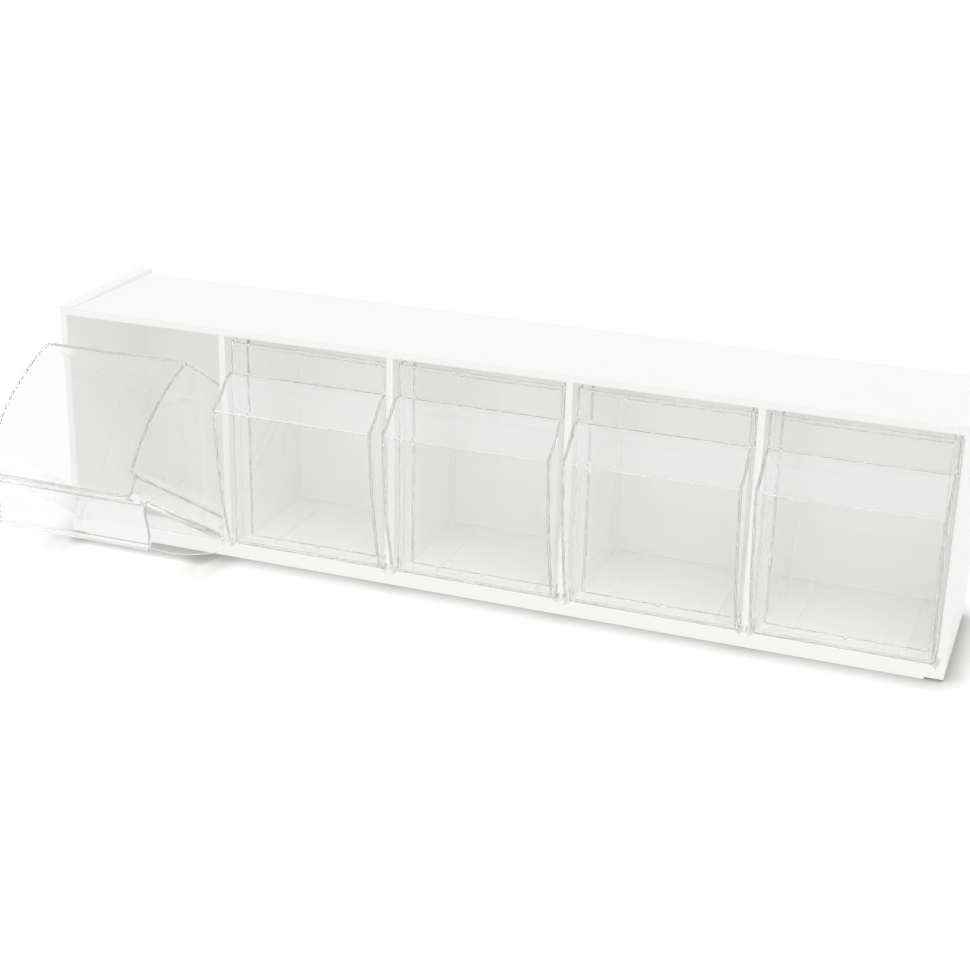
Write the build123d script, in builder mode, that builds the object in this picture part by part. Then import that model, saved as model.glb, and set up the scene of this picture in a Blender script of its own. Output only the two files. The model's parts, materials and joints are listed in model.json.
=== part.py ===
from build123d import *
import os
from math import cos, hypot, radians, sin, sqrt

# A tilt bin organizer: five clear tip-out bins in one white moulded housing.
# Millimetres. X runs along the row of bins, Y to the back, Z up. The origin is the middle of the
# housing's underside, halfway between its front and back.

# Housing
BIN_COUNT = 5
OPENING_WIDTH = 114.4
DIVIDER_THICKNESS = 4.5
END_WALL = 5.0
HOUSING_DEPTH = 105.0
HOUSING_HEIGHT = 160.0
TOP_PANEL = 3.0
FLOOR_THICKNESS = 3.0
BACK_WALL = 2.5
LIP_HEIGHT = 5.0
LIP_THICKNESS = 2.5
STRIP_THICKNESS = 1.8
OUTER_ROUND = 1.0
OPENING_ROUND = 1.2
MOUTH_ROUND = 0.6

# Rests under the closed bins
RAIL_WIDTH = 3.0
RAIL_SPACING = 70.0
RAIL_LENGTH = 84.0
REST_GAP = 0.4

# Stacking: a wedge rib on each end of the top, and a groove for it under each end
RIB_WIDTH = 10.0
RIB_FRONT_HEIGHT = 1.0
RIB_BACK_HEIGHT = 4.0
GROOVE_SIDE_CLEARANCE = 1.5
GROOVE_TOP_CLEARANCE = 0.5
GROOVE_COVER = 2.0

# Screw holes through the back, above the bins' back walls
SCREW_HOLE_DIAMETER = 4.5
SCREW_HOLE_HEIGHT = 140.0

# Bearings: a trunnion on each side of a bin snaps into a socket in the wall beside it
TRUNNION_DIAMETER = 6.0
TRUNNION_CLEARANCE = 0.05
TRUNNION_END_GAP = 0.2
SOCKET_DEPTH = 1.6
LEAD_IN_WIDTH = 5.6
STRIP_NOTCH_WIDTH = 5.0
STRIP_NOTCH_DEPTH = 4.0
PIVOT_INSET = 7.5
PIVOT_HEIGHT = 12.0
OPENING_ANGLE = 58.0
STOP_GAP = 0.3

# Bins
BIN_WALL = 2.2
FRONT_ROUND = 5.0
SIDE_CLEARANCE = 1.3
REAR_NARROWING = 4.0
JOG_START = 9.0
JOG_END = 13.0
BACK_CLEARANCE = 2.3
RIM_CLEARANCE = 4.0
RIM_ROUND = 0.5
HEEL_ROUND = 3.0

# Handle hood and the side fins that close its ends
HOOD_ROOT_HEIGHT = 118.5
HOOD_REACH = 24.3
HOOD_DROP = 17.9
HOOD_ROOT_PULL = (9.0, 1.0)
HOOD_LIP_PULL = (13.0, 4.7)
HOOD_WALL = 2.2
LIP_BEAD_DIAMETER = 4.4
FIN_TOE_REACH = 8.5
FIN_TOE_HEIGHT = 5.0
FIN_FOOT_HEIGHT = 2.45
FIN_BELLY = 3.0
FIN_ROUND = 1.5

# Worked out from the sizes above
HOUSING_WIDTH = BIN_COUNT * OPENING_WIDTH + (BIN_COUNT - 1) * DIVIDER_THICKNESS + 2 * END_WALL
BIN_PITCH = OPENING_WIDTH + DIVIDER_THICKNESS
BIN_CENTRES = [(index - (BIN_COUNT - 1) / 2) * BIN_PITCH for index in range(BIN_COUNT)]
FRONT_Y = -HOUSING_DEPTH / 2
BACK_Y = HOUSING_DEPTH / 2
CEILING = HOUSING_HEIGHT - TOP_PANEL
PIVOT_Y = FRONT_Y + PIVOT_INSET
BIN_BOTTOM = PIVOT_HEIGHT - FRONT_ROUND
REST_HEIGHT = BIN_BOTTOM - REST_GAP
BIN_HALF = OPENING_WIDTH / 2 - SIDE_CLEARANCE
REAR_HALF = BIN_HALF - REAR_NARROWING
BIN_BACK = BACK_Y - BACK_WALL - BACK_CLEARANCE - PIVOT_Y
RIM_RADIUS = HOUSING_HEIGHT - LIP_HEIGHT - RIM_CLEARANCE - PIVOT_HEIGHT
TRUNNION_END = OPENING_WIDTH / 2 + SOCKET_DEPTH - TRUNNION_END_GAP
OPEN_COS = cos(radians(OPENING_ANGLE))
OPEN_SIN = sin(radians(OPENING_ANGLE))


def strip_top(y):
    """Height of the front strip's bevelled top: parallel to an opened bin's front wall, a stop gap away."""
    return PIVOT_HEIGHT - (FRONT_ROUND + STOP_GAP + (y - PIVOT_Y) * OPEN_COS) / OPEN_SIN


def when_closed(y, z):
    """Turn a point of an opened bin, measured from the pivot, back to where it lies on the closed bin."""
    return (y * OPEN_COS + z * OPEN_SIN, z * OPEN_COS - y * OPEN_SIN)


def wedge(front_height, back_height, base):
    """A side profile with a flat base from front to back and a sloping top."""
    with BuildSketch() as profile:
        with BuildLine():
            Polyline(
                (FRONT_Y, base),
                (FRONT_Y, base + front_height),
                (BACK_Y, base + back_height),
                (BACK_Y, base),
                close=True,
            )
        make_face()
    return profile.sketch


# Housing: the outer block, its compartments, and everything moulded on it
front_plane = Plane.XZ.offset(-FRONT_Y)
back_plane = Plane.XZ.offset(-BACK_Y)

with BuildPart() as housing:
    with BuildSketch(Plane.XY):
        Rectangle(HOUSING_WIDTH, HOUSING_DEPTH)
    extrude(amount=HOUSING_HEIGHT)
    fillet(housing.edges().filter_by(Axis.Z), radius=OUTER_ROUND)

    # Compartments, open at the front
    with BuildSketch(front_plane):
        with Locations(*[(x, (CEILING + FLOOR_THICKNESS) / 2) for x in BIN_CENTRES]):
            RectangleRounded(OPENING_WIDTH, CEILING - FLOOR_THICKNESS, OPENING_ROUND)
    extrude(amount=BACK_WALL - HOUSING_DEPTH, mode=Mode.SUBTRACT)

    # Lip under the front of the top panel
    with BuildSketch(Plane.YZ):
        with Locations((FRONT_Y + LIP_THICKNESS / 2, HOUSING_HEIGHT - LIP_HEIGHT / 2)):
            Rectangle(LIP_THICKNESS, LIP_HEIGHT)
    extrude(amount=HOUSING_WIDTH / 2 - END_WALL, both=True)

    # Front strip, bevelled so that an opened bin's front wall lies along it
    with BuildSketch(Plane.YZ):
        with BuildLine():
            Polyline(
                (FRONT_Y, 0),
                (FRONT_Y, strip_top(FRONT_Y)),
                (FRONT_Y + STRIP_THICKNESS, strip_top(FRONT_Y + STRIP_THICKNESS)),
                (FRONT_Y + STRIP_THICKNESS, 0),
                close=True,
            )
        make_face()
    extrude(amount=HOUSING_WIDTH / 2 - END_WALL, both=True)

    # Softened edges round each bin's mouth
    fillet([wire.edges() for wire in housing.faces().sort_by(Axis.Y)[0].inner_wires()], radius=MOUTH_ROUND)

    # Slanting notches at the strip's ends, which the trunnions pass over on their way in
    with BuildSketch(front_plane):
        for x in BIN_CENTRES:
            for side in (-1, 1):
                edge = x + side * OPENING_WIDTH / 2
                with BuildLine():
                    Polyline(
                        (edge, strip_top(FRONT_Y) - STRIP_NOTCH_DEPTH),
                        (edge - side * STRIP_NOTCH_WIDTH, strip_top(FRONT_Y)),
                        (edge, strip_top(FRONT_Y)),
                        close=True,
                    )
                make_face()
    extrude(amount=-STRIP_THICKNESS, mode=Mode.SUBTRACT)

    # Rails that the closed bins rest on
    rail_y = BACK_Y - BACK_WALL - RAIL_LENGTH / 2
    with BuildSketch(Plane.XY):
        for x in BIN_CENTRES:
            with Locations((x - RAIL_SPACING / 2, rail_y), (x + RAIL_SPACING / 2, rail_y)):
                Rectangle(RAIL_WIDTH, RAIL_LENGTH)
    extrude(amount=REST_HEIGHT)

    # Covers over the stacking grooves, inside the end compartments
    groove_width = RIB_WIDTH + GROOVE_SIDE_CLEARANCE
    cover_width = groove_width + GROOVE_COVER - END_WALL
    cover_x = HOUSING_WIDTH / 2 - END_WALL - cover_width / 2
    with BuildSketch(Plane.XY):
        with Locations((-cover_x, rail_y), (cover_x, rail_y)):
            Rectangle(cover_width, RAIL_LENGTH)
    extrude(amount=REST_HEIGHT)

    # Stacking ribs and grooves
    for side in (-1, 1):
        end_plane = Plane.YZ.offset(side * HOUSING_WIDTH / 2)
        with BuildSketch(end_plane):
            add(wedge(RIB_FRONT_HEIGHT, RIB_BACK_HEIGHT, HOUSING_HEIGHT))
        extrude(amount=-side * RIB_WIDTH)
        with BuildSketch(end_plane):
            add(wedge(RIB_FRONT_HEIGHT + GROOVE_TOP_CLEARANCE, RIB_BACK_HEIGHT + GROOVE_TOP_CLEARANCE, 0))
        extrude(amount=-side * groove_width, mode=Mode.SUBTRACT)

    # Bearing sockets, each with a way in from the front that the trunnion snaps through
    for x in BIN_CENTRES:
        for side in (-1, 1):
            socket_plane = Plane(
                origin=(x + side * OPENING_WIDTH / 2, PIVOT_Y, PIVOT_HEIGHT),
                x_dir=(0, 1, 0),
                z_dir=(side, 0, 0),
            )
            with BuildSketch(socket_plane):
                Circle(TRUNNION_DIAMETER / 2 + TRUNNION_CLEARANCE)
                with Locations((-PIVOT_INSET / 2, 0)):
                    Rectangle(PIVOT_INSET, LEAD_IN_WIDTH)
            extrude(amount=SOCKET_DEPTH, mode=Mode.SUBTRACT)

    # Screw holes for hanging the housing on a wall, in the two end compartments
    with BuildSketch(back_plane):
        with Locations((BIN_CENTRES[0], SCREW_HOLE_HEIGHT), (BIN_CENTRES[-1], SCREW_HOLE_HEIGHT)):
            Circle(SCREW_HOLE_DIAMETER / 2)
    extrude(amount=BACK_WALL, mode=Mode.SUBTRACT)

housing.part.label = "housing"


def basin(side_plane, plan_plane, inset, rim_radius):
    """The solid inside a bin's walls: its side profile cut by its outline in plan, both inset alike."""
    low = FRONT_ROUND - inset
    back = BIN_BACK - inset
    heel = HEEL_ROUND - inset
    front_top = (-low, sqrt(rim_radius**2 - low**2))
    back_top = (back, sqrt(rim_radius**2 - back**2))
    with BuildPart() as solid:
        with BuildSketch(side_plane):
            with BuildLine():
                Polyline(front_top, (-low, 0))
                RadiusArc((-low, 0), (0, -low), -low)
                Line((0, -low), (back - heel, -low))
                RadiusArc((back - heel, -low), (back, heel - low), -heel)
                Line((back, heel - low), back_top)
                RadiusArc(back_top, front_top, -rim_radius)
            make_face()
        extrude(amount=BIN_HALF - inset, both=True)
        with BuildSketch(plan_plane):
            with BuildLine():
                right = [
                    (BIN_HALF - inset, -FRONT_ROUND),
                    (BIN_HALF - inset, JOG_START - inset / 2),
                    (REAR_HALF - inset, JOG_END - inset / 2),
                    (REAR_HALF - inset, back),
                ]
                Polyline(*right, *[(-x, y) for x, y in reversed(right)], close=True)
            make_face()
        extrude(amount=rim_radius, both=True, mode=Mode.INTERSECT)
    return solid


def make_bin(centre_x, angle):
    """A bin tipped forward by an angle: walls, handle hood, fins and trunnions in one moulding."""
    turn_cos = cos(radians(angle))
    turn_sin = sin(radians(angle))
    pivot = (centre_x, PIVOT_Y, PIVOT_HEIGHT)
    side_plane = Plane(origin=pivot, x_dir=(0, turn_cos, turn_sin), z_dir=(1, 0, 0))
    plan_plane = Plane(origin=pivot, x_dir=(1, 0, 0), z_dir=(0, -turn_sin, turn_cos))
    outside = basin(side_plane, plan_plane, 0, RIM_RADIUS)
    inside = basin(side_plane, plan_plane, BIN_WALL, RIM_RADIUS + BIN_WALL)

    hood_root = (-FRONT_ROUND, HOOD_ROOT_HEIGHT)
    hood_lip = (-FRONT_ROUND - HOOD_REACH, HOOD_ROOT_HEIGHT - HOOD_DROP)
    hood_curve = (
        hood_root,
        (hood_root[0] - HOOD_ROOT_PULL[0], hood_root[1] - HOOD_ROOT_PULL[1]),
        (hood_lip[0] + HOOD_LIP_PULL[0], hood_lip[1] + HOOD_LIP_PULL[1]),
        hood_lip,
    )
    hood_slope = hypot(HOOD_REACH, HOOD_DROP)
    down = (HOOD_WALL * HOOD_DROP / hood_slope, -HOOD_WALL * HOOD_REACH / hood_slope)
    hood_under = [(y + down[0], z + down[1]) for y, z in hood_curve]
    stop_y = -PIVOT_INSET - STOP_GAP
    fin_heel = when_closed(stop_y, -(FRONT_ROUND + stop_y * OPEN_COS) / OPEN_SIN)
    fin_foot = when_closed(stop_y, FIN_FOOT_HEIGHT - PIVOT_HEIGHT)
    fin_toe = (-FRONT_ROUND - FIN_TOE_REACH, FIN_TOE_HEIGHT)

    with BuildPart() as clear_bin:
        add(outside.part)
        add(inside.part, mode=Mode.SUBTRACT)
        rims = [face for face in clear_bin.faces().filter_by(GeomType.CYLINDER) if face.radius > RIM_RADIUS / 2]
        fillet(rims[0].edges(), radius=RIM_ROUND)

        # Handle hood: one curved wall from side to side with a bead along its lip
        with BuildSketch(side_plane):
            with BuildLine():
                Bezier(*hood_curve)
                Line(hood_curve[-1], hood_under[-1])
                Bezier(*hood_under)
                Line(hood_under[0], hood_curve[0])
            make_face()
            with Locations(hood_lip):
                Circle(LIP_BEAD_DIAMETER / 2)
        extrude(amount=BIN_HALF, both=True)

        # Fins: the side walls run on in front of the front wall and close the ends of the hood
        for side in (-1, 1):
            with BuildSketch(side_plane.offset(side * BIN_HALF)) as fin:
                with BuildLine():
                    Bezier(*hood_curve)
                    SagittaArc(hood_lip, fin_toe, FIN_BELLY)
                    Polyline(fin_toe, fin_foot, fin_heel, hood_root)
                make_face()
                fillet(fin.vertices().sort_by(Axis.Y)[:2], radius=FIN_ROUND)
            extrude(amount=-side * BIN_WALL)

        # Trunnions
        for side in (-1, 1):
            with BuildSketch(side_plane.offset(side * (BIN_HALF - BIN_WALL / 2))):
                Circle(TRUNNION_DIAMETER / 2)
            extrude(amount=side * (TRUNNION_END - BIN_HALF + BIN_WALL / 2))

    return clear_bin


# The first bin stands open, as it is used; the others are closed
OPEN_BINS = (1,)
bins = []
for number, centre_x in enumerate(BIN_CENTRES, start=1):
    tipped = make_bin(centre_x, OPENING_ANGLE if number in OPEN_BINS else 0)
    tipped.part.label = f"bin_{number}"
    bins.append(tipped)

os.makedirs("parts", exist_ok=True)
export_step(housing.part, "parts/housing.step")
for tipped in bins:
    export_step(tipped.part, f"parts/{tipped.part.label}.step")
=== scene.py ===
import json
from math import asin, atan2, cos, pi, radians, sin

import bmesh
import bpy
import numpy as np
from mathutils import Matrix, Vector


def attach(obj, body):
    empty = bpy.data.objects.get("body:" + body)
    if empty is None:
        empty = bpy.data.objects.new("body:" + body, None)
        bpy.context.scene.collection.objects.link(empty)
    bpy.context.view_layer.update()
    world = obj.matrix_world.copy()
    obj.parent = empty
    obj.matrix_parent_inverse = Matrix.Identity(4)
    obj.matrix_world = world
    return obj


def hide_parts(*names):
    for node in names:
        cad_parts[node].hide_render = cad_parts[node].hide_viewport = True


# A tilt bin organizer: one white moulded housing and five clear tip-out bins, the first one open.
# Metres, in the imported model's frame: X along the row, Y to the back, Z up.

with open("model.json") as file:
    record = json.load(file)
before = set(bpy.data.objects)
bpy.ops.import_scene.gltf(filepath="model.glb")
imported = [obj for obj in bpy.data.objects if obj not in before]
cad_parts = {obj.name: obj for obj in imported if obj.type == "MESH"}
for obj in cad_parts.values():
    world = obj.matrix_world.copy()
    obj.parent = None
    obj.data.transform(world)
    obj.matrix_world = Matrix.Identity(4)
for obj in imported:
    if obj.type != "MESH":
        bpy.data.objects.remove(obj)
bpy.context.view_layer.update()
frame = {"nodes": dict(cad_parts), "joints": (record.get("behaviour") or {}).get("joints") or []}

MM = 0.001
JOINTS = {joint["child"]: joint for joint in frame["joints"]}
BIN_NAMES = sorted(JOINTS)

# Photograph
IMAGE_HEIGHT_PX = 971
FOCAL_PX = 1811.3
SENSOR_MM = 36.0
CAMERA_AZIMUTH = 19.92
CAMERA_ELEVATION = 20.99
CAMERA_ROLL = 1.46
CAMERA_DISTANCE = 1.2039
CAMERA_TARGET = (-0.01243, 0.0, 0.05847)
CAMERA_CLIP_END = 50


def set_camera():
    """The photograph's viewpoint: a turn and a tilt about a point of the housing, and a small roll."""
    azimuth = radians(CAMERA_AZIMUTH)
    elevation = radians(CAMERA_ELEVATION)
    roll = radians(CAMERA_ROLL)
    forward = Vector((-sin(azimuth) * cos(elevation), cos(azimuth) * cos(elevation), -sin(elevation)))
    right = forward.cross(Vector((0, 0, 1))).normalized()
    up = right.cross(forward)
    tilted_right = right * cos(roll) + up * sin(roll)
    tilted_up = up * cos(roll) - right * sin(roll)
    camera = bpy.data.objects.new("camera", bpy.data.cameras.new("camera"))
    camera.data.sensor_width = SENSOR_MM
    camera.data.lens = FOCAL_PX * SENSOR_MM / IMAGE_HEIGHT_PX
    camera.data.clip_end = CAMERA_CLIP_END
    axes = Matrix((tilted_right, tilted_up, -forward)).transposed()
    camera.matrix_world = Matrix.Translation(Vector(CAMERA_TARGET) - forward * CAMERA_DISTANCE) @ axes.to_4x4()
    bpy.context.scene.collection.objects.link(camera)
    bpy.context.scene.camera = camera


# Shader maths


class Field:
    """A number or colour that varies over a surface: wraps a shader socket, so sums are written as sums."""

    def __init__(self, tree, socket):
        self.tree = tree
        self.socket = socket

    def math(self, operation, other, swap=False):
        """A Math node on this value and another, with the other first where they are swapped."""
        first, second = (other, self) if swap else (self, other)
        return self.tree.node("ShaderNodeMath", {"operation": operation}, {0: first, 1: second})

    def __add__(self, other):
        return self.math("ADD", other)

    def __sub__(self, other):
        return self.math("SUBTRACT", other)

    def __rsub__(self, other):
        return self.math("SUBTRACT", other, swap=True)

    def __mul__(self, other):
        return self.math("MULTIPLY", other)

    __radd__ = __add__
    __rmul__ = __mul__

    def at_most(self, limit):
        return self.math("MINIMUM", limit)


class Tree:
    """The nodes of one material or world."""

    def __init__(self, owner):
        owner.use_nodes = True
        self.nodes = owner.node_tree.nodes
        self.links = owner.node_tree.links
        self.nodes.clear()

    def node(self, kind, settings=None, inputs=None, output=0):
        """Add a node of a type: its settings first, then the values or links of its sockets."""
        made = self.nodes.new(kind)
        for name, value in (settings or {}).items():
            setattr(made, name, value)
        for name, value in (inputs or {}).items():
            if isinstance(value, Field):
                self.links.new(value.socket, made.inputs[name])
            else:
                made.inputs[name].default_value = value
        return Field(self, made.outputs[output])

    def noise(self, scale, detail):
        """A cloudy pattern in object coordinates: as many cells to a metre as its scale."""
        place = self.node("ShaderNodeTexCoord", output="Object")
        return self.node("ShaderNodeTexNoise", {}, {"Vector": place, "Scale": scale, "Detail": detail})

    def blend(self, amount, first, second):
        """A colour between two others."""
        settings = {"data_type": "RGBA"}
        return self.node("ShaderNodeMix", settings, {"Factor": amount, "A": first, "B": second}, "Result")

    def ray(self, kind):
        """What the Light Path node says of the ray that meets the surface."""
        return self.node("ShaderNodeLightPath", output=kind)

    def seen(self):
        """1 for what the camera sees, straight, in a gloss or through clear plastic, and 0 for light that bounces."""
        return (self.ray("Is Camera Ray") + self.ray("Is Glossy Ray") + self.ray("Is Transmission Ray")).at_most(1.0)

    def output(self, surface, kind="ShaderNodeOutputMaterial"):
        """The surface goes to the output node of a material or a world."""
        made = self.nodes.new(kind)
        self.links.new(surface.socket, made.inputs["Surface"])


def white_plastic():
    """Opaque white moulded polystyrene: a soft gloss with a fine moulded texture and faint cloudiness."""
    material = bpy.data.materials.new("white_plastic")
    tree = Tree(material)
    cloud = tree.noise(18.0, 3.0)
    grain = tree.noise(2600.0, 2.0)
    swirl = tree.noise(140.0, 4.0)
    colour = tree.blend(cloud, (0.972, 0.973, 0.966, 1), (0.984, 0.984, 0.978, 1))
    bump = tree.node("ShaderNodeBump", {}, {"Strength": 0.12, "Distance": 0.00005, "Height": grain + 0.5 * swirl})
    surface = tree.node("ShaderNodeBsdfPrincipled", {}, {
        "Base Color": colour,
        "Roughness": 0.34 + 0.14 * swirl,
        "IOR": 1.49,
        "Normal": bump,
    })
    tree.output(surface)
    return material


# Light that is reflected this often inside a wall is trapped. Most of it then passes straight through, because
# the renderer would otherwise end it as a black line.
TRAPPED_BOUNCES = 4
TRAPPED_SHARE = 0.96


def clear_plastic():
    """Crystal clear polystyrene: polished walls with a trace of cool tint, a slight haze and faint flow waves.

    Shadow rays and light that bounces off matt surfaces pass straight through, so that the bays behind are lit.
    """
    material = bpy.data.materials.new("clear_plastic")
    tree = Tree(material)
    waves = tree.noise(45.0, 2.0)
    scuffs = tree.noise(700.0, 5.0)
    bump = tree.node("ShaderNodeBump", {}, {"Strength": 0.01, "Distance": 0.0004, "Height": waves})
    surface = tree.node("ShaderNodeBsdfPrincipled", {}, {
        "Base Color": (0.99, 0.993, 0.993, 1),
        "Roughness": 0.005 + 0.03 * scuffs,
        "IOR": 1.5,
        "Transmission Weight": 0.92,
        "Normal": bump,
    })
    trapped = tree.ray("Glossy Depth").math("GREATER_THAN", TRAPPED_BOUNCES - 0.5)
    film = tree.node("ShaderNodeBsdfTransparent")
    passes = (tree.ray("Is Shadow Ray") + tree.ray("Is Diffuse Ray") + TRAPPED_SHARE * trapped).at_most(1.0)
    tree.output(tree.node("ShaderNodeMixShader", {}, {0: passes, 1: surface, 2: film}))
    return material


# Bins. Sizes in millimetres, measured from the pivot: across, to the back, up

BIN_HALF = 55.9
BIN_FRONT = -5.0
BIN_DEPTH = 97.7
BIN_WALL = 2.2
REAR_NARROWING = 4.0
JOG_MIDDLE = 11.0
JOG_OUTER_ROUND = 3.0
JOG_INNER_ROUND = 0.8
FLOOR_STEP = 0.8
FLOOR_STEP_RUN = 4.0
RIM_RADIUS = 139.0
RIM_ROUND = 1.0
FRONT_CORNER = 5.2
REAR_CORNER = 3.2
FRONT_ROUND = 5.0
SIDE_ROUND = 2.5
SIDE_ROUND_INSIDE = 0.2
HEEL_ROUND = 3.0
TRUNNION_RADIUS = 3.0
TRUNNION_END = 58.6
TRUNNION_EDGE = 0.4
TRUNNION_ROOT = 0.8 * BIN_WALL
HOOD_CURVE = ((-5.0, 118.5), (-14.0, 117.5), (-16.3, 105.3), (-29.3, 100.6))
HOOD_UNDERSIDE = (1.305, -1.771)
HOOD_FILLET = 1.6
HOOD_EDGE = 0.1
CURVE_STEPS = 40
LIP_BEAD_RADIUS = 1.6
FIN_TOE = (-13.5, 5.0)
FIN_FOOT = (-12.23, 1.55)
FIN_HEEL = (-5.0, 6.07)
FIN_BELLY = 3.0
FIN_ROUND = 1.5
FIN_EDGE = 0.9
FIN_ROOT_DROP = 1.0
GATE_MARK = (1.6, 0.7)

# Small offsets that keep the faces of joined pieces apart and an outline's points in order. HOOD_SINK is a share
# of the hood's thickness.
SEAM = 0.05
HOOD_SINK = 0.03
FILLET_LIFT = 0.1
FILLET_GAP = 0.3
BEAD_GAP = 0.15
WELD = 0.01

SHARP_ANGLE = 40


def arc(centre, radius, start, end, steps):
    """Points round a circle's stretch: the centre plus the radius times the cosine and sine of each angle."""
    angle = np.radians(np.linspace(start, end, steps))
    return np.stack((centre[0] + radius * np.cos(angle), centre[1] + radius * np.sin(angle)), 1)


def bezier(corners, steps):
    """A cubic curve: its four corners weighted by the Bernstein polynomials of the parameter."""
    t = np.linspace(0, 1, steps)[:, None]
    first, second, third, fourth = (np.array(corner) for corner in corners)
    return (1 - t) ** 3 * first + 3 * t * (1 - t) ** 2 * second + 3 * t**2 * (1 - t) * third + t**3 * fourth


def rounded(before, corner, after, radius, steps=6):
    """A corner's round: an arc that touches both straight sides, its centre on their bisector."""
    before, corner, after = (np.array(point, float) for point in (before, corner, after))
    to_before = (before - corner) / np.linalg.norm(before - corner)
    to_after = (after - corner) / np.linalg.norm(after - corner)
    half_angle = np.arccos(to_before @ to_after) / 2
    middle = to_before + to_after
    centre = corner + middle / np.linalg.norm(middle) * radius / np.sin(half_angle)
    touch = radius / np.tan(half_angle)
    first, last = corner + touch * to_before - centre, corner + touch * to_after - centre
    start, end = atan2(first[1], first[0]), atan2(last[1], last[0])
    turn = (end - start + pi) % (2 * pi) - pi
    angle = start + turn * np.linspace(0, 1, steps)
    return centre + radius * np.stack((np.cos(angle), np.sin(angle)), 1)


def new_mesh(name, points, faces):
    """A mesh from an array of points in millimetres and a list of faces, all turned outwards."""
    mesh = bpy.data.meshes.new(name)
    mesh.from_pydata((np.asarray(points) * MM).tolist(), [], faces)
    shell = bmesh.new()
    shell.from_mesh(mesh)
    bmesh.ops.recalc_face_normals(shell, faces=shell.faces)
    shell.to_mesh(mesh)
    shell.free()
    return mesh


def ring_faces(rows, columns):
    """Quads between neighbouring rows of a grid whose columns close into a ring."""
    row, column = np.meshgrid(np.arange(rows - 1), np.arange(columns), indexing="ij")
    here = row * columns + column
    beside = row * columns + (column + 1) % columns
    return np.stack((here, beside, beside + columns, here + columns), -1).reshape(-1, 4).tolist()


def half_outline():
    """Half of the bin in plan, front to back: the front corner, the two bends of the jog, the side, the rear corner.

    Each row holds a point's place across and in depth, its outward direction, and the radii of the outer and
    inner rounds between wall and floor there, which change from the front wall's to the side's and the back's.
    """
    rear_half = BIN_HALF - REAR_NARROWING
    back = BIN_FRONT + BIN_DEPTH
    slope = radians(45)
    rounds = JOG_OUTER_ROUND + JOG_INNER_ROUND
    run = (REAR_NARROWING - rounds * (1 - cos(slope))) / sin(slope)
    jog_depth = rounds * sin(slope) + run * cos(slope)
    jog_start = JOG_MIDDLE - jog_depth / 2
    jog_end = jog_start + jog_depth
    bends = (
        (BIN_HALF - FRONT_CORNER, BIN_FRONT + FRONT_CORNER, FRONT_CORNER, -90, 0, 12),
        (BIN_HALF - JOG_OUTER_ROUND, jog_start, JOG_OUTER_ROUND, 0, 45, 6),
        (rear_half + JOG_INNER_ROUND, jog_end, -JOG_INNER_ROUND, 45, 0, 5),
        (rear_half - REAR_CORNER, back - REAR_CORNER, REAR_CORNER, 0, 90, 9),
    )
    points = [arc((across, depth), *bend) for across, depth, *bend in bends]
    facing = [arc((0, 0), 1, start, end, steps) for across, depth, radius, start, end, steps in bends]
    side = np.linspace(jog_end, back - REAR_CORNER, 60)[1:-1]
    points.insert(3, np.stack((rear_half + 0 * side, side), 1))
    facing.insert(3, np.stack((1 + 0 * side, 0 * side), 1))
    points, facing = np.concatenate(points), np.concatenate(facing)
    to_front = np.clip(-facing[:, 1], 0, 1) ** 2
    to_back = np.where(points[:, 1] > JOG_MIDDLE + jog_depth, np.clip(facing[:, 1], 0, 1) ** 2, 0)
    outer = SIDE_ROUND + (FRONT_ROUND - SIDE_ROUND) * to_front + (HEEL_ROUND - SIDE_ROUND) * to_back
    return points, facing, outer, outer - BIN_WALL + SIDE_ROUND_INSIDE * (1 - to_front) * (1 - to_back)


def floor_height(depth):
    """The outer face of the floor: flat, with a smooth step up in line with the jog in the side walls."""
    t = np.clip((depth - JOG_MIDDLE + FLOOR_STEP_RUN / 2) / FLOOR_STEP_RUN, 0, 1)
    return BIN_FRONT + FLOOR_STEP * t * t * (3 - 2 * t)


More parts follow.
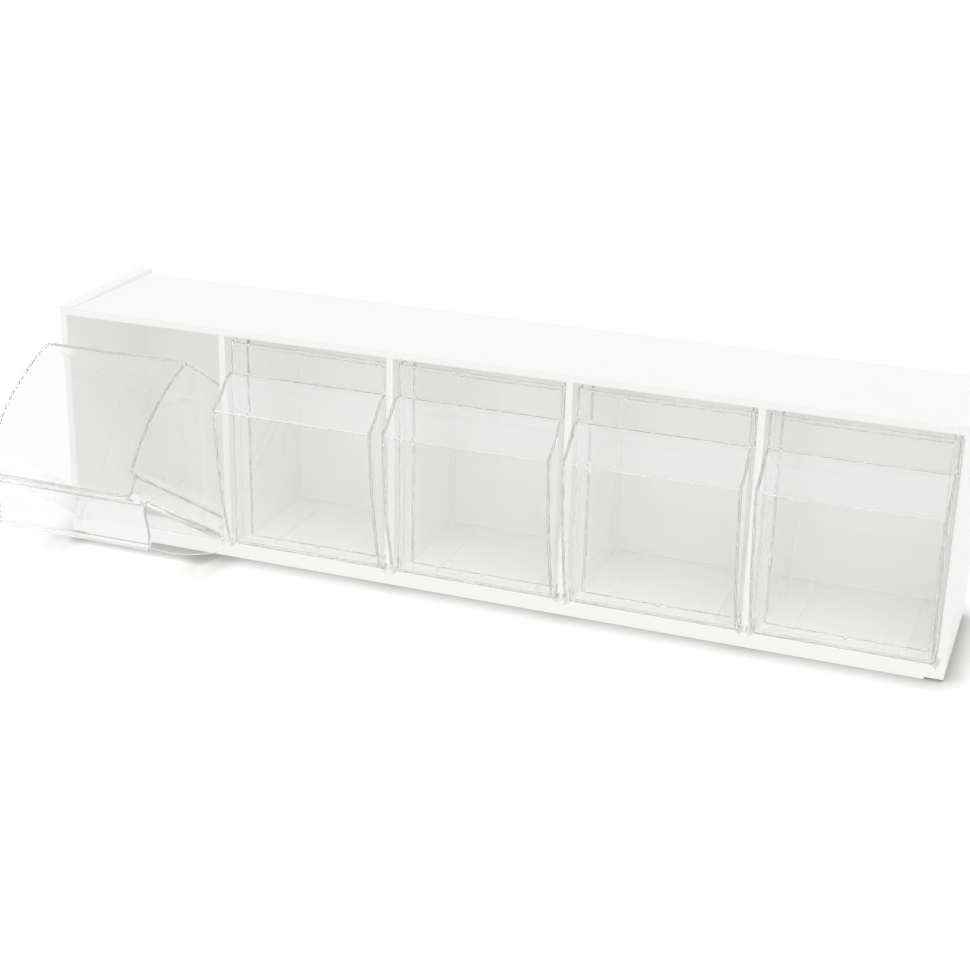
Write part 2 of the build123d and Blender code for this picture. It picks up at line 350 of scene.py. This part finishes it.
def basin_mesh():
    """The bin's walls and floor as one closed surface: the section of a wall is carried round the outline in plan.

    The section runs from the outside of the floor over a quarter round, up the wall to the rim, over it and down
    to the inside of the floor. The rim's height follows a circle about the pivot, so it clears the housing.
    """
    half, facing, outer, inner = half_outline()
    mirror = np.array((-1, 1))
    outline = np.concatenate((half, half[::-1] * mirror))
    facing = np.concatenate((facing, facing[::-1] * mirror))
    outer, inner = np.concatenate((outer, outer[::-1])), np.concatenate((inner, inner[::-1]))
    quarter = np.radians(np.linspace(0, 90, 6))[:, None]
    rim_quarter = np.radians(np.linspace(0, 90, 5))[:, None]
    levels = np.linspace(0, 1, 5)[1:-1, None]

    def lay(inward):
        """Places of the outline's points after each is moved inwards."""
        return outline[None] - inward[..., None] * facing[None]

    def up_the_wall(inward, rise):
        """Places and heights at even levels between the floor's round and the rim's."""
        place = lay(inward)
        foot = floor_height(place[..., 1]) + rise
        top = np.sqrt(RIM_RADIUS**2 - place[..., 1] ** 2) - RIM_ROUND
        return place, foot + (top - foot) * levels

    rows = []
    place = lay(outer * (1 - np.sin(quarter)))
    rows.append((place, floor_height(place[..., 1]) + outer * (1 - np.cos(quarter))))
    rows.append(up_the_wall(np.zeros_like(outer) + 0 * levels, outer))
    over = np.concatenate((RIM_ROUND * (1 - np.cos(rim_quarter)), BIN_WALL - RIM_ROUND * (1 - np.sin(rim_quarter))))
    drop = np.concatenate((RIM_ROUND * (1 - np.sin(rim_quarter)), RIM_ROUND * (1 - np.cos(rim_quarter))))
    place = lay(over + 0 * outer)
    rows.append((place, np.sqrt(RIM_RADIUS**2 - place[..., 1] ** 2) - drop))
    place, height = up_the_wall(BIN_WALL + 0 * outer + 0 * levels, BIN_WALL + inner)
    rows.append((place[::-1], height[::-1]))
    place = lay(BIN_WALL + inner * (1 - np.cos(quarter)))
    rows.append((place, floor_height(place[..., 1]) + BIN_WALL + inner * (1 - np.sin(quarter))))
    plan = np.concatenate([place for place, height in rows])
    height = np.concatenate([height for place, height in rows])
    count, columns = height.shape
    points = np.concatenate((plan, height[..., None]), -1).reshape(-1, 3)
    faces = ring_faces(count, columns)
    right = np.arange(columns // 2 - 1)
    left = columns - 1 - right
    for base in (0, (count - 1) * columns):
        faces += (base + np.stack((right, right + 1, left - 1, left), 1)).tolist()
    return new_mesh("basin", points, faces)


def plate_mesh(name, outline, low, high, edge):
    """A flat plate with rounded edges: a closed outline in depth and height, carried from low to high across.

    Each ring is the outline moved inwards along its own normals by a quarter round's amount at that place across.
    """
    ahead = np.roll(outline, -1, 0) - outline
    ahead /= np.linalg.norm(ahead, axis=1)[:, None]
    normal = np.stack((ahead[:, 1], -ahead[:, 0]), 1)
    bisector = normal + np.roll(normal, 1, 0)
    bisector /= (bisector * normal).sum(1)[:, None]
    area = (outline[:, 0] * np.roll(outline[:, 1], -1) - np.roll(outline[:, 0], -1) * outline[:, 1]).sum()
    outward = bisector * np.sign(area)
    turn = np.radians(np.linspace(0, 90, 5))
    inward = edge * np.concatenate((1 - np.sin(turn), (1 - np.sin(turn))[::-1]))
    across = np.concatenate((low + edge * (1 - np.cos(turn)), (high - edge * (1 - np.cos(turn)))[::-1]))
    plan = outline[None] - inward[:, None, None] * outward[None]
    count, columns = plan.shape[:2]
    across = np.repeat(across[:, None], columns, 1)[..., None]
    points = np.concatenate((across, plan), -1).reshape(-1, 3)
    first = np.arange(columns)
    last = first + (count - 1) * columns
    return new_mesh(name, points, ring_faces(count, columns) + [first.tolist(), last.tolist()])


def hood_outline():
    """The hood's section: a hollow round out of the wall, the hood's curve, a bead at the lip, the curve moved down."""
    upper = bezier(HOOD_CURVE, CURVE_STEPS) + HOOD_SINK * np.array(HOOD_UNDERSIDE)
    under = upper + np.array(HOOD_UNDERSIDE)
    centre = (upper[-1] + under[-1]) / 2
    reach = np.hypot(*HOOD_UNDERSIDE) / 2
    lip_way = np.array((upper[-1] - upper[-2]) / np.linalg.norm(upper[-1] - upper[-2]))
    heading = np.degrees(atan2(lip_way[1], lip_way[0]))
    half_gap = np.degrees(asin(reach / LIP_BEAD_RADIUS))
    bead = arc(centre, LIP_BEAD_RADIUS, heading - 180 + half_gap, heading + 180 - half_gap, 22)
    first = upper[upper[:, 0] < BIN_FRONT - HOOD_FILLET][0]
    fillet_centre = (BIN_FRONT - HOOD_FILLET, first[1] + HOOD_FILLET + FILLET_LIFT)
    fillet = arc(fillet_centre, HOOD_FILLET, 0, -90, 7)
    root = np.array([(BIN_FRONT + BIN_WALL / 2, fillet[0, 1] + HOOD_FILLET / 2)])
    clear_of_bead = LIP_BEAD_RADIUS + BEAD_GAP
    upper, under = (side[np.hypot(*(side - centre).T) > clear_of_bead] for side in (upper, under))
    upper = upper[upper[:, 0] < BIN_FRONT - HOOD_FILLET - FILLET_GAP]
    return np.concatenate((root, fillet + (SEAM, 0), upper, bead, under[::-1]))


def fin_outline():
    """A fin's outline: the hood's curve, a slightly bellied edge down to the toe, the foot, and a root in the wall."""
    curve = bezier(HOOD_CURVE, CURVE_STEPS)
    lip, toe = curve[-1], np.array(FIN_TOE)
    t = np.linspace(0, 1, 50)[:, None]
    chord = toe - lip
    belly = np.array((chord[1], -chord[0])) / np.linalg.norm(chord) * FIN_BELLY * 4 * t * (1 - t)
    edge = lip + chord * t + belly
    toe_round = rounded(edge[-2], FIN_TOE, FIN_FOOT, FIN_ROUND)
    foot_round = rounded(FIN_TOE, FIN_FOOT, FIN_HEEL, FIN_ROUND)
    inside = BIN_FRONT + FRONT_CORNER + BIN_WALL
    rise = (FIN_HEEL[1] - FIN_FOOT[1]) / (FIN_HEEL[0] - FIN_FOOT[0])
    root = np.array([(inside, FIN_HEEL[1] + rise * (inside - FIN_HEEL[0])), (inside, HOOD_CURVE[0][1] - FIN_ROOT_DROP)])
    return np.concatenate((curve, edge[1:-1], toe_round, foot_round, [FIN_HEEL], root))


def trunnion_mesh(side):
    """A short round pin with a rounded end: a circle about the pivot, carried outwards from the side wall."""
    ring = arc((0, 0), TRUNNION_RADIUS, 0, 360, 33)[:-1]
    low, high = sorted((side * (BIN_HALF - TRUNNION_ROOT), side * TRUNNION_END))
    return plate_mesh("trunnion", ring, low, high, TRUNNION_EDGE)


def gate_mesh():
    """The moulding gate's mark: a low dome on the middle of the floor's step, as rings that shrink as they rise."""
    radius, height = GATE_MARK
    turn = np.radians(np.linspace(0, 80, 5))[:, None]
    around = np.radians(np.linspace(0, 360, 17))[None, :-1]
    base = BIN_FRONT + BIN_WALL + FLOOR_STEP / 2
    across = radius * np.cos(turn) * np.cos(around)
    depth = JOG_MIDDLE + radius * np.cos(turn) * np.sin(around)
    rise = base + height * np.sin(turn) + 0 * around
    sunk = np.stack((across[0], depth[0], rise[0] - BIN_WALL / 2), -1)[None]
    points = np.concatenate((sunk, np.stack((across, depth, rise), -1)))
    rows, columns = points.shape[:2]
    first = np.arange(columns)
    last = first + (rows - 1) * columns
    return new_mesh("gate", points.reshape(-1, 3), ring_faces(rows, columns) + [first.tolist(), last.tolist()])


def joined(first, others):
    """One closed mesh from several that overlap, with what lies inside another cut away."""
    body = bpy.data.objects.new("body", first)
    bpy.context.scene.collection.objects.link(body)
    helpers = []
    for mesh in others:
        helper = bpy.data.objects.new("helper", mesh)
        bpy.context.scene.collection.objects.link(helper)
        union = body.modifiers.new("union", "BOOLEAN")
        union.operation = "UNION"
        union.solver = "EXACT"
        union.object = helper
        helpers.append(helper)
    graph = bpy.context.evaluated_depsgraph_get()
    whole = bpy.data.meshes.new_from_object(body.evaluated_get(graph))
    for spare in [body, *helpers]:
        bpy.data.objects.remove(spare)
    return whole


def bin_mesh():
    """A whole closed bin about its pivot: basin, hood, fins, trunnions and the gate's mark."""
    hood_half = BIN_HALF - BIN_WALL / 2
    others = [plate_mesh("hood", hood_outline(), -hood_half, hood_half, HOOD_EDGE)]
    for side in (-1, 1):
        low, high = sorted((side * (BIN_HALF - SEAM), side * (BIN_HALF - BIN_WALL + SEAM)))
        others.append(plate_mesh("fin", fin_outline(), low, high, FIN_EDGE))
        others.append(trunnion_mesh(side))
    others.append(gate_mesh())
    whole = joined(basin_mesh(), others)
    shell = bmesh.new()
    shell.from_mesh(whole)
    bmesh.ops.remove_doubles(shell, verts=shell.verts, dist=WELD * MM)
    bmesh.ops.dissolve_degenerate(shell, edges=shell.edges, dist=WELD * MM)
    shell.to_mesh(whole)
    shell.free()
    return whole


def place_bin(name, shape, material):
    """A bin in its place: the shape turned about X by its opening angle and moved to its joint's pivot."""
    joint = JOINTS[name]
    piece = bpy.data.objects.new(name + "_clear", shape.copy())
    angle = -radians(min(joint["range_deg"]))
    turned = Matrix.Translation(Vector(joint["pos_m"])) @ Matrix.Rotation(angle, 4, "X")
    piece.data.transform(turned)
    piece.data.materials.clear()
    piece.data.materials.append(material)
    piece.data.shade_smooth()
    piece.data.set_sharp_from_angle(angle=radians(SHARP_ANGLE))
    bpy.context.scene.collection.objects.link(piece)
    steady = piece.modifiers.new("flat_faces_first", "WEIGHTED_NORMAL")
    steady.keep_sharp = True
    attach(piece, name)
    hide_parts(name)


# Surroundings

FLOOR_SIZE = 16.0
FLOOR_DIFFUSE = (0.96, 0.96, 0.955, 1)
FLOOR_GLOW = 0.14
# The object's painted shadow on the floor, a dark emission mixed in where the floor is closed in: how near the floor
# looks for the object, in metres, how much of it counts, the most it covers, and its colour
PAINTED_SHADOW_REACH = 0.022
PAINTED_SHADOW_DEPTH = 1.2
PAINTED_SHADOW_LIMIT = 0.7
PAINTED_SHADOW_COLOUR = (0.6, 0.58, 0.5, 1)


def set_floor():
    """A plain white floor. Where it is seen it is lifted to white, and a shadow is painted on it where the object
    closes it in.
    """
    half = FLOOR_SIZE / 2
    mesh = bpy.data.meshes.new("floor")
    mesh.from_pydata([(-half, -half, 0), (half, -half, 0), (half, half, 0), (-half, half, 0)], [], [(0, 1, 2, 3)])
    floor = bpy.data.objects.new("floor", mesh)
    bpy.context.scene.collection.objects.link(floor)
    material = bpy.data.materials.new("floor")
    tree = Tree(material)
    seen = tree.seen()
    paper = tree.node("ShaderNodeBsdfDiffuse", {}, {"Color": FLOOR_DIFFUSE})
    glow = tree.node("ShaderNodeEmission", {}, {"Color": (1, 1, 1, 1), "Strength": FLOOR_GLOW * seen})
    lit = tree.node("ShaderNodeAddShader", {}, {0: paper, 1: glow})
    # Painted shadow: a warm dark emission, mixed in by how closed in the floor is, stands in for the object's shadow
    # where the floor is seen.
    painted_shadow = tree.node("ShaderNodeEmission", {}, {"Color": PAINTED_SHADOW_COLOUR, "Strength": FLOOR_GLOW * seen})
    closed_in = 1.0 - tree.node("ShaderNodeAmbientOcclusion", {"samples": 8}, {"Distance": PAINTED_SHADOW_REACH}, "AO")
    painted_shadow_share = (PAINTED_SHADOW_DEPTH * closed_in * seen).at_most(PAINTED_SHADOW_LIMIT)
    tree.output(tree.node("ShaderNodeMixShader", {}, {0: painted_shadow_share, 1: lit, 2: painted_shadow}))
    mesh.materials.append(material)


DOME = 0.76
LAMP_SPREAD = 32
LAMP_STRENGTH = 0.7
LAMP_TOWARDS = (0.35, -0.9, 2.0)
PATH_BOUNCES = 32
CLEAR_CROSSINGS = 256


def set_lights():
    """An even white studio dome, full white where it is seen, and a broad sun from high in front, a little right."""
    world = bpy.data.worlds.new("studio")
    bpy.context.scene.world = world
    tree = Tree(world)
    brightness = DOME + (1.0 - DOME) * tree.seen()
    dome = tree.node("ShaderNodeBackground", {}, {"Color": (1, 1, 1, 1), "Strength": brightness})
    tree.output(dome, "ShaderNodeOutputWorld")
    lamp = bpy.data.objects.new("soft_lamp", bpy.data.lights.new("soft_lamp", "SUN"))
    lamp.data.angle = radians(LAMP_SPREAD)
    lamp.data.energy = LAMP_STRENGTH
    lamp.visible_glossy = False
    lamp.visible_transmission = False
    lamp.matrix_world = Vector(LAMP_TOWARDS).to_track_quat("Z", "Y").to_matrix().to_4x4()
    bpy.context.scene.collection.objects.link(lamp)


def set_bounces():
    """Enough reflections inside the clear walls for their edges to carry light, as thick glass does."""
    cycles = bpy.context.scene.cycles
    cycles.max_bounces = PATH_BOUNCES
    cycles.diffuse_bounces = PATH_BOUNCES
    cycles.glossy_bounces = TRAPPED_BOUNCES
    cycles.transmission_bounces = PATH_BOUNCES
    cycles.transparent_max_bounces = CLEAR_CROSSINGS


set_camera()
set_floor()
set_lights()
set_bounces()

white = white_plastic()
clear = clear_plastic()
bin_shape = bin_mesh()
for name in BIN_NAMES:
    place_bin(name, bin_shape, clear)
for name, node in frame["nodes"].items():
    node.data.materials.clear()
    node.data.materials.append(white if name == "housing" else clear)

bpy.context.scene.view_settings.view_transform = "Standard"
